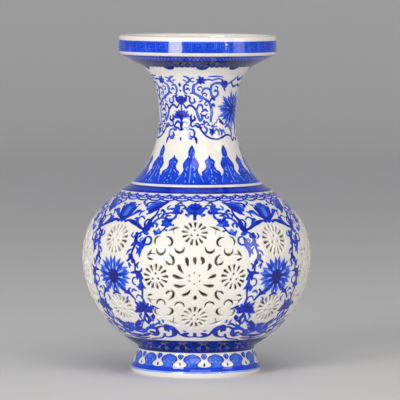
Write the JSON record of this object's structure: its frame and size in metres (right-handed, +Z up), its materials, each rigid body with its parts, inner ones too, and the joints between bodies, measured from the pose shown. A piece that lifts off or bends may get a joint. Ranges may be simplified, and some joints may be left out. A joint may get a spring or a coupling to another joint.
{
  "type": "porcelain vase",
  "caption": "Free-standing blue and white porcelain vase with a dish mouth, waisted neck and pierced double-walled belly round a separate water-holding liner.",
  "frame": {"origin": "centre of the foot's resting plane", "axes": "+Z up along the vase's axis; -Y towards the front, where one of the four large medallions faces"},
  "size_m": [0.19, 0.19, 0.28],
  "materials": {
    "cobalt_glaze": "glossy cobalt-painted glaze",
    "white_glaze": "glossy clear glaze over white porcelain with cobalt painting",
    "liner_glaze": "glossy clear glaze over white porcelain, unpainted",
    "slip": "fired porcelain slip, matt"
  },
  "bodies": {
    "root": {"mouth_dish": "cobalt_glaze", "neck": "white_glaze", "shoulder_collar": "cobalt_glaze", "belly_upper": "white_glaze", "belly_lower": "white_glaze", "foot": "white_glaze", "base_disc": "white_glaze", "liner_shoulder": "liner_glaze", "liner_upper": "liner_glaze", "liner_lower": "liner_glaze", "liner_bowl": "liner_glaze", "mouth_seam": "slip", "shoulder_seam": "slip", "collar_seam": "slip", "belly_seam": "slip", "foot_seam": "slip", "liner_seam": "slip"}
  },
  "joints": []
}
